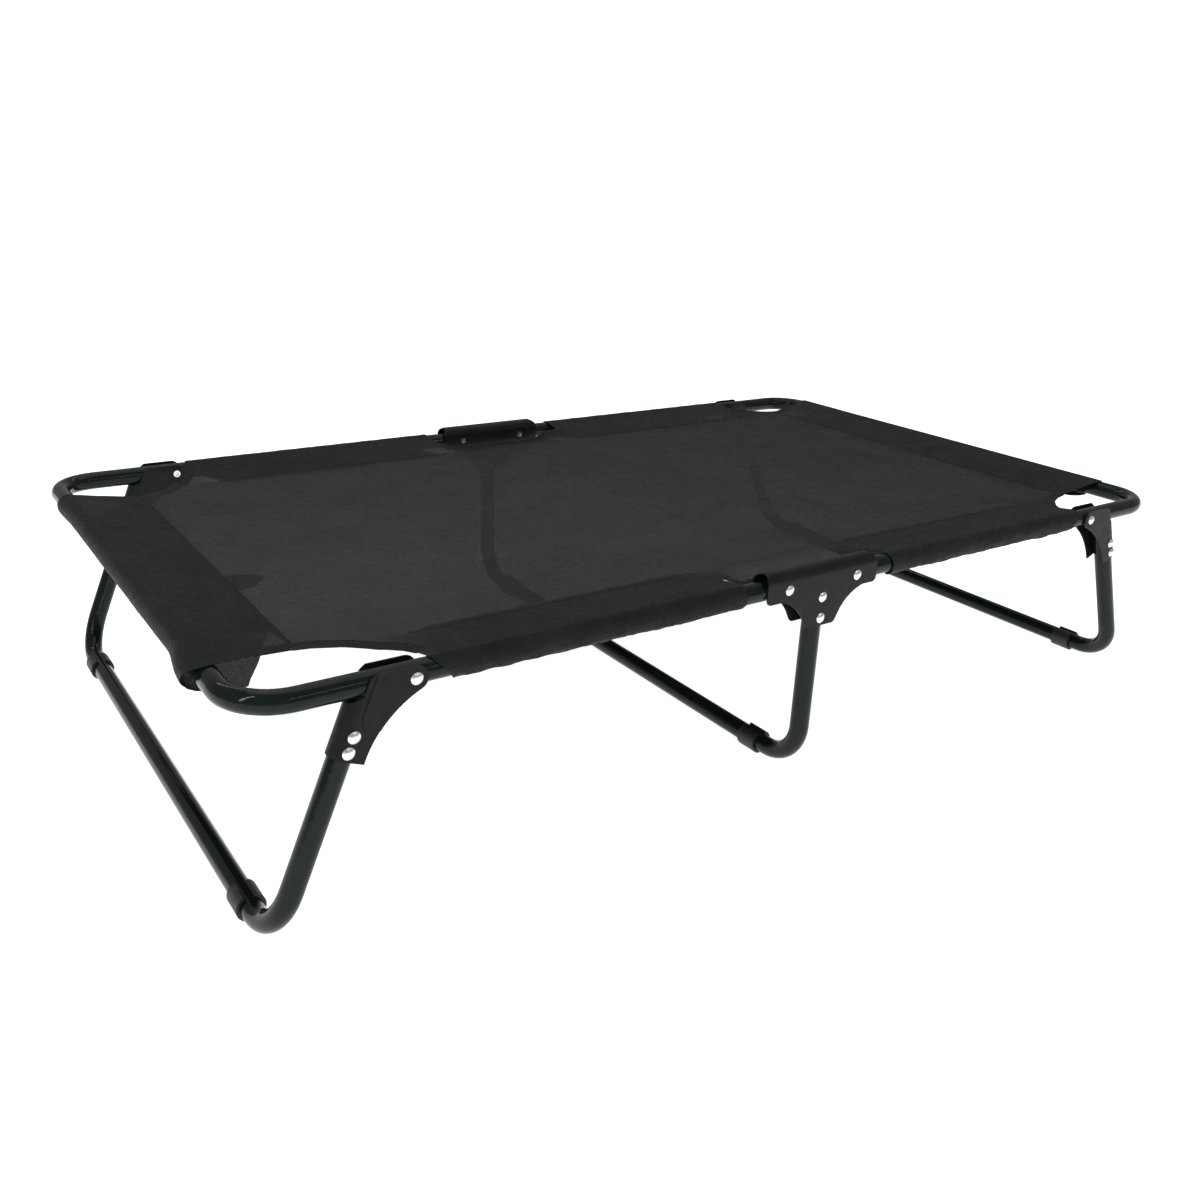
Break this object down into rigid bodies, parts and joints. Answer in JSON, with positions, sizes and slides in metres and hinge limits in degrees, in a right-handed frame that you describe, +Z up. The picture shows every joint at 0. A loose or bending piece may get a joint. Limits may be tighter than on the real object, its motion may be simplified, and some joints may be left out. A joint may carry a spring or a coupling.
{
  "type": "dog bed with frame",
  "caption": "Folding raised pet bed: mesh sling on a round-tube frame, hinged in the middle, with folding end legs and a fixed middle leg.",
  "frame": {"origin": "on the floor under the middle of the bed", "axes": "+X along the length towards the right end, +Y towards the back, +Z up"},
  "size_m": [1.1774, 0.699, 0.239],
  "materials": {
    "frame_paint": "gloss",
    "bracket_paint": "satin",
    "rivet_zinc": "bright",
    "foot_plastic": "matte",
    "sling_mesh": "open weave",
    "hem_mesh": "open weave, two layers"
  },
  "bodies": {
    "middle": {"middle_leg_tube": "frame_paint", "middle_sling": "sling_mesh", "middle_front_bracket": "bracket_paint", "middle_front_rivets": "rivet_zinc", "middle_front_foot": "foot_plastic", "middle_back_bracket": "bracket_paint", "middle_back_rivets": "rivet_zinc", "middle_back_foot": "foot_plastic", "left_front_frame_pivot_rivet": "rivet_zinc", "left_back_frame_pivot_rivet": "rivet_zinc", "right_front_frame_pivot_rivet": "rivet_zinc", "right_back_frame_pivot_rivet": "rivet_zinc"},
    "left_frame": {"left_frame_tube": "frame_paint", "left_end_sleeve": "hem_mesh", "left_sling": "sling_mesh", "left_front_side_sleeve": "hem_mesh", "left_back_side_sleeve": "hem_mesh"},
    "left_leg": {"left_leg_tube": "frame_paint", "left_front_leg_bracket": "bracket_paint", "left_front_leg_pivot_rivet": "rivet_zinc", "left_front_leg_rivets": "rivet_zinc", "left_front_foot": "foot_plastic", "left_back_leg_bracket": "bracket_paint", "left_back_leg_pivot_rivet": "rivet_zinc", "left_back_leg_rivets": "rivet_zinc", "left_back_foot": "foot_plastic"},
    "right_frame": {"right_frame_tube": "frame_paint", "right_end_sleeve": "hem_mesh", "right_sling": "sling_mesh", "right_front_side_sleeve": "hem_mesh", "right_back_side_sleeve": "hem_mesh"},
    "right_leg": {"right_leg_tube": "frame_paint", "right_front_leg_bracket": "bracket_paint", "right_front_leg_pivot_rivet": "rivet_zinc", "right_front_leg_rivets": "rivet_zinc", "right_front_foot": "foot_plastic", "right_back_leg_bracket": "bracket_paint", "right_back_leg_pivot_rivet": "rivet_zinc", "right_back_leg_rivets": "rivet_zinc", "right_back_foot": "foot_plastic"}
  },
  "joints": [
    {"name": "left_frame_fold", "type": "hinge", "parent": "middle", "child": "left_frame", "pos_m": [-0.046, 0, 0.221], "axis": [0, -1, 0], "range_deg": [0, 70]},
    {"name": "left_leg_fold", "type": "hinge", "parent": "left_frame", "child": "left_leg", "pos_m": [-0.44, 0, 0.221], "axis": [0, -1, 0], "range_deg": [0, 112.5]},
    {"name": "right_frame_fold", "type": "hinge", "parent": "middle", "child": "right_frame", "pos_m": [0.046, 0, 0.221], "axis": [0, 1, 0], "range_deg": [0, 70]},
    {"name": "right_leg_fold", "type": "hinge", "parent": "right_frame", "child": "right_leg", "pos_m": [0.44, 0, 0.221], "axis": [0, 1, 0], "range_deg": [0, 112.5]}
  ]
}
